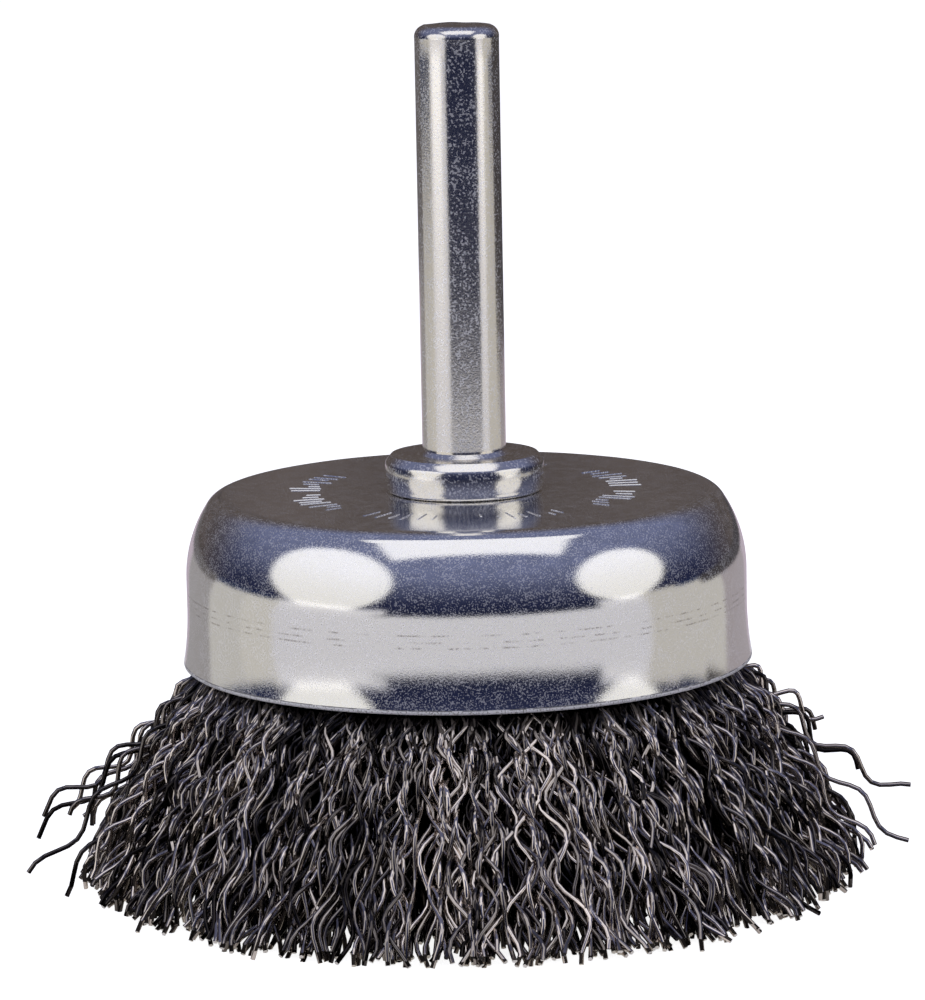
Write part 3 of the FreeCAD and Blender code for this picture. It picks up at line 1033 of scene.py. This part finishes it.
STRAYS = (
    Stray(182, 31.7, 4.7, 0.05, 0.25, 0.0, 4.4, 5.8),
    Stray(184, 32.0, 3.3, 0.10, 0.25, 0.0, 4.4, 5.8),
    Stray(177, 29.6, 4.7, 0.55, 0.25, 0.0, 4.2, 5.6),
    Stray(186, 28.8, 4.6, 0.30, 0.25, 0.0, 4.2, 5.6),
    Stray(179, 28.5, 4.2, 0.70, 0.20, 0.0, 4.2, 5.6),
    Stray(173, 28.2, 2.6, 0.42),
    Stray(190, 31.9, 1.0, 0.78, 0.25, 0.0, 4.4, 5.4),
    Stray(196, 30.4, 0.5, 0.15, 0.22),
    Stray(200, 29.3, 2.2, 0.40),
    Stray(203, 28.6, 1.8, 0.85, 0.20),
    Stray(207, 29.4, 0.5, 0.20, 0.20),
    Stray(169, 28.9, 2.2, 0.20),
    Stray(163, 28.3, 1.4, 0.90, 0.20),
    Stray(198, 28.4, 3.4, 0.60, 0.22),
    Stray(211, 28.2, 0.3, 0.95, 0.15),
    Stray(-2, 31.5, 4.9, 0.75, 0.25, 0.0, 4.4, 5.8),
    Stray(-10, 31.6, 2.3, 0.35, 0.25, 0.0, 4.4, 5.8),
    Stray(5, 26.3, 9.9, 0.10, 0.25, 0.0, 2.4, 3.0),
    Stray(1, 28.1, 6.4, 0.45, 0.25, 0.0, 4.0, 5.2),
    Stray(9, 25.8, 8.8, 0.65, 0.25, 0.0, 2.4, 3.4),
    Stray(-14, 29.4, 2.4, 0.05),
    Stray(-19, 28.4, 1.6, 0.25, 0.20),
    Stray(-24, 28.0, 0.9, 0.80, 0.15),
    Stray(-7, 28.2, 3.0, 0.50),
    Stray(-29, 27.6, 0.5, 0.95, 0.15),
    Stray(-64, 31.0, 0.12, 0.40, 0.03, 5.0),
    Stray(-77, 29.8, 0.12, 0.15, 0.05, 3.0),
    Stray(-101, 29.9, 0.12, 0.65, 0.04, -4.0),
    Stray(90, 30.6, 3.8, 0.30),
    Stray(121, 29.8, 1.8, 0.70),
    Stray(58, 29.9, 2.4, 0.10),
    Stray(270, 28.9, 0.9, 0.60, 0.20, 2.0),
    Stray(145, 29.3, 2.9, 0.50),
    Stray(34, 29.2, 1.6, 0.90),
)


@dataclass(frozen=True)
class Trim:
    """The 24 tufts of crimped wires, which reach further in front and behind than at the sides."""

    run: WireRun = field(default_factory=WireRun)
    front_reach: float = 2.8 * MM

    def build(self, tree: WireTree) -> None:
        """Builds the tufts and the strays in them.

        Args:
            tree: the tree that draws wires.
        """
        pitch = 360.0 / TUFT_COUNT
        for index in range(TUFT_COUNT):
            name = f"crimped_tuft_{index + 1:02d}"
            piece = bpy.data.objects.new(name, bpy.data.meshes.new(name))
            bpy.context.scene.collection.objects.link(piece)
            azimuth = math.radians(index * pitch)
            reach = self.run.outer_tip_radius + self.front_reach * math.sin(azimuth) ** 2
            tree.add_to(piece, replace(self.run, seed=index + 1, azimuth=azimuth, outer_tip_radius=reach))
            for k, stray in enumerate(STRAYS):
                if round(stray.azimuth_degrees / pitch) % TUFT_COUNT == index:
                    tree.add_to(piece, stray.run(FIRST_STRAY_SEED + k))
            place(piece, Slot.WIRE, f"wire_tuft_{index + 1:02d}")


# The studio


@dataclass(frozen=True)
class Softbox:
    """A lamp that faces the object."""

    name: str
    azimuth_degrees: float
    elevation_degrees: float
    distance: float
    width: float
    height: float
    radiance: float
    is_round: bool = True
    colour: Colour = (1.0, 0.985, 0.945)

    def build(self, aim: Vector) -> None:
        """Hangs the lamp.

        Args:
            aim: the point it faces.
        """
        lamp = bpy.data.lights.new(self.name, "AREA")
        lamp.shape = "ELLIPSE" if self.is_round else "RECTANGLE"
        lamp.size, lamp.size_y = self.width, self.height
        area = self.width * self.height * (math.pi / 4 if self.is_round else 1.0)
        lamp.energy = self.radiance * math.pi * area
        lamp.color = self.colour
        hung = bpy.data.objects.new(self.name, lamp)
        turn, lift = math.radians(self.azimuth_degrees), math.radians(self.elevation_degrees)
        away = Vector((math.sin(turn) * math.cos(lift), -math.cos(turn) * math.cos(lift), math.sin(lift)))
        hung.location = aim + away * self.distance
        hung.rotation_euler = (-away).to_track_quat("-Z", "Y").to_euler()
        hung.visible_camera = False
        bpy.context.scene.collection.objects.link(hung)


@dataclass(frozen=True)
class Card:
    """A sector of card on the table that only the metal shows, measured from the front towards +X."""

    start_degrees: float
    end_degrees: float
    near: float
    far: float
    colour: Colour


@dataclass(frozen=True)
class Studio:
    """Floor, dark hood, cards, lamps and world."""

    floor_size: float = 12.0
    floor_colour: Colour = (0.90, 0.89, 0.87)
    floor_roughness: float = 0.9
    camera_glow: float = 0.90
    metal_glow: float = 0.30
    metal_glow_colour: Colour = (1.0, 0.955, 0.87)
    hood_radius: float = 2.6
    hood_around: int = 48
    hood_up: int = 12
    hood_top_degrees: float = 89.5
    hood_front_low: Colour = (0.016, 0.020, 0.058)
    hood_front_high: Colour = (0.165, 0.188, 0.33)
    hood_back: Colour = (0.098, 0.081, 0.077)
    hood_high_shares: Range = (0.02, 0.62)
    hood_back_shares: Range = (0.30, 0.95)
    weave_scale: float = 14.0
    weave_levels: Range = (0.40, 0.60)
    weave_dark: float = 0.72
    weave_pale: float = 1.26
    hood_front_degrees: float = -0.3
    hood_back_degrees: float = -5.0
    first_card_level: float = 0.40 * MM
    card_step: float = 0.05 * MM
    card_degrees: float = 5.0
    world_colour: Colour = (1.0, 0.99, 0.97)
    aim: Vector = field(default_factory=lambda: Vector((0.0, 0.0, 22 * MM)))
    lamps: tuple[Softbox, ...] = (
        Softbox("softbox_left", -60.0, 18.7, 0.55, 0.57, 0.46, 0.93),
        Softbox("softbox_right", 67.0, 15.8, 0.55, 0.41, 0.355, 0.96),
        Softbox("softbox_overhead", 5.0, 65.6, 0.60, 0.74, 0.40, 0.89, is_round=False),
    )
    cards: tuple[Card, ...] = (
        Card(-122.0, -98.0, 92 * MM, 2500 * MM, (0.56, 0.545, 0.53)),
        Card(-98.0, -80.0, 92 * MM, 2500 * MM, (0.62, 0.60, 0.575)),
        Card(74.0, 122.0, 92 * MM, 2500 * MM, (0.57, 0.55, 0.53)),
        Card(-152.0, -122.0, 92 * MM, 2500 * MM, (0.34, 0.325, 0.335)),
        Card(122.0, 152.0, 92 * MM, 2500 * MM, (0.38, 0.345, 0.37)),
        Card(152.0, 208.0, 92 * MM, 2500 * MM, (0.50, 0.43, 0.50)),
        Card(-180.0, -121.0, 340 * MM, 2560 * MM, (0.14, 0.13, 0.135)),
        Card(108.0, 180.0, 262 * MM, 2560 * MM, (0.060, 0.055, 0.060)),
        Card(-180.0, 180.0, 27 * MM, 82 * MM, (0.026, 0.025, 0.027)),
        Card(-38.0, 53.0, 206 * MM, 232 * MM, (0.24, 0.24, 0.27)),
        Card(-35.0, 53.0, 232 * MM, 258 * MM, (0.10, 0.105, 0.135)),
        Card(-32.0, 53.0, 258 * MM, 290 * MM, (0.040, 0.042, 0.075)),
        Card(-32.0, 53.0, 290 * MM, 2560 * MM, (0.016, 0.020, 0.050)),
        Card(-121.0, -82.0, 520 * MM, 2560 * MM, (0.020, 0.034, 0.090)),
        Card(92.0, 108.0, 600 * MM, 2560 * MM, (0.025, 0.040, 0.10)),
    )

    def build(self) -> None:
        """Sets everything up."""
        self.floor()
        self.hood()
        self.lay_cards()
        for lamp in self.lamps:
            lamp.build(self.aim)
        world = bpy.data.worlds.new("studio")
        bpy.context.scene.world = world
        world.use_nodes = True
        sky = {"Color": self.world_colour, "Strength": 1.0}
        NodeBench(world.node_tree).fill(world.node_tree.nodes["Background"], sky)

    def floor(self) -> None:
        """A pale floor that keeps the shadow. It glows for the camera, and less for the metal."""
        material, bench, shader = Finish("floor_paper").start()
        path = bench.node("ShaderNodeLightPath")
        by_camera = Quantity(bench, path.outputs["Is Camera Ray"])
        by_metal = Quantity(bench, path.outputs["Is Glossy Ray"])
        paper = {
            "Base Color": self.floor_colour,
            "Roughness": self.floor_roughness,
            "Emission Color": bench.blend((1.0, 1.0, 1.0), self.metal_glow_colour, by_metal),
            "Emission Strength": by_camera * self.camera_glow + by_metal * self.metal_glow,
        }
        bench.fill(shader, paper)
        half = self.floor_size / 2
        corners = [(-half, -half, 0.0), (half, -half, 0.0), (half, half, 0.0), (-half, half, 0.0)]
        new_piece("floor", corners, [(0, 1, 2, 3)], material)

    def glowing(self, name: str) -> tuple[bpy.types.Material, NodeBench, bpy.types.Node]:
        """Makes a material that only gives off light.

        Args:
            name: its name.

        Returns:
            The material, its bench and its Emission shader.
        """
        material = bpy.data.materials.new(name)
        material.use_nodes = True
        nodes = material.node_tree.nodes
        nodes.remove(nodes["Principled BSDF"])
        bench = NodeBench(material.node_tree)
        shader = bench.node("ShaderNodeEmission")
        bench.feed(nodes["Material Output"].inputs["Surface"], shader.outputs[0])
        return material, bench, shader

    def hood(self) -> None:
        """A dark dome down to the table's edge, blue in front and brown behind, that the metal mirrors."""
        material, bench, shader = self.glowing("hood_cloth")
        here = bench.here()
        depth, height = bench.split(here)[1:]
        lifted = bench.rise(height / self.hood_radius, *self.hood_high_shares)
        behind = bench.rise(depth / self.hood_radius, *self.hood_back_shares)
        front = bench.blend(self.hood_front_low, self.hood_front_high, lifted)
        weave = bench.rise(bench.speckle(here, self.weave_scale, detail=2.0), *self.weave_levels)
        cloth = {
            "Color": bench.blend(front, self.hood_back, behind),
            "Strength": bench.mix(self.weave_dark, self.weave_pale, weave),
        }
        bench.fill(shader, cloth)
        sag = self.hood_back_degrees - self.hood_front_degrees
        vertices, faces = [], []
        for i in range(self.hood_up + 1):
            for k in range(self.hood_around):
                turn = math.tau * k / self.hood_around
                behindness = max(0.0, -math.cos(turn))
                lowest = self.hood_front_degrees + sag * behindness
                lift = math.radians(lowest + (self.hood_top_degrees - lowest) * i / self.hood_up)
                out, level = self.hood_radius * math.cos(lift), self.hood_radius * math.sin(lift)
                vertices.append((out * math.sin(turn), -out * math.cos(turn), level))
        for i in range(self.hood_up):
            row, above = i * self.hood_around, (i + 1) * self.hood_around
            for k in range(self.hood_around):
                j = (k + 1) % self.hood_around
                faces.append((row + k, row + j, above + j, above + k))
        piece = new_piece("dark_hood", vertices, faces, material)
        piece.visible_camera = False

    def lay_cards(self) -> None:
        """Lays the cards, each a little above the one before, where only the metal shows them."""
        for number, card in enumerate(self.cards):
            material, bench, shader = self.glowing(f"card_paper_{number + 1}")
            bench.feed(shader.inputs["Color"], card.colour)
            level = self.first_card_level + self.card_step * number
            sweep = card.end_degrees - card.start_degrees
            steps = max(8, round(sweep / self.card_degrees))
            vertices, faces = [], []
            for i in range(steps + 1):
                turn = math.radians(card.start_degrees + sweep * i / steps)
                for reach in (card.near, card.far):
                    vertices.append((reach * math.sin(turn), -reach * math.cos(turn), level))
            for i in range(steps):
                faces.append((2 * i, 2 * i + 2, 2 * i + 3, 2 * i + 1))
            piece = new_piece(f"card_{number + 1}", vertices, faces, material)
            piece.visible_camera = False
            piece.visible_diffuse = False
            piece.visible_shadow = False


@dataclass(frozen=True)
class Camera:
    """The photograph's viewpoint."""

    distance: float = 358.72 * MM
    height: float = 87.78 * MM
    pitch_degrees: float = 80.344
    roll_degrees: float = -1.072
    lens: float = 182.61
    sensor_width: float = 36.0
    clip: Range = (0.01, 40.0)
    shift_x: float = -0.0027

    def build(self) -> None:
        """Sets the camera up."""
        camera = bpy.data.cameras.new("camera")
        camera.lens = self.lens
        camera.sensor_width = self.sensor_width
        camera.shift_x = self.shift_x
        camera.clip_start, camera.clip_end = self.clip
        held = bpy.data.objects.new("camera", camera)
        turn = Matrix.Rotation(math.radians(self.pitch_degrees), 3, "X")
        roll = Matrix.Rotation(math.radians(self.roll_degrees), 3, "Z")
        held.rotation_euler = (turn @ roll).to_euler()
        held.location = (0.0, -self.distance, self.height)
        bpy.context.scene.collection.objects.link(held)
        bpy.context.scene.camera = held


def main() -> None:
    """Builds the brush and its studio."""
    logging.basicConfig(level=logging.INFO, format="%(name)s: %(message)s")
    spindle_zinc = ZincPlating(
        name="spindle_zinc",
        bright=(0.81, 0.775, 0.71),
        roughness=0.14,
        speck_roughness=0.22,
        speck_share=0.30,
        grain_scale=7500.0,
        grain_level=0.55,
        grain_depth=0.005 * MM,
    )
    cup_zinc = ZincPlating(
        name="cup_zinc",
        # Heights of the painted shade lines on the cup's wall.
        shade_line_heights=(20.78 * MM, 20.30 * MM, 19.9 * MM),
        edge_height=15.62 * MM,
    )
    tick_zinc = ZincPlating(name="tick_zinc", roughness=0.25, speck_share=0.9)
    inner_zinc = ZincPlating(name="inner_cup_zinc", roughness=0.25)
    Spindle().build(spindle_zinc.make())
    OuterCup().build(cup_zinc.make())
    StampedTicks().build(tick_zinc.make())
    InnerCup().build(inner_zinc.make())
    ring_steel = WireSteel(name="ring_steel", roughness=0.35).make()
    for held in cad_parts["retaining_ring"].material_slots:
        held.material = ring_steel
    Trim().build(WireTree(WireSteel().make()))
    Studio().build()
    Camera().build()
    bpy.context.scene.view_settings.view_transform = "Standard"


if __name__ == "__main__":
    main()
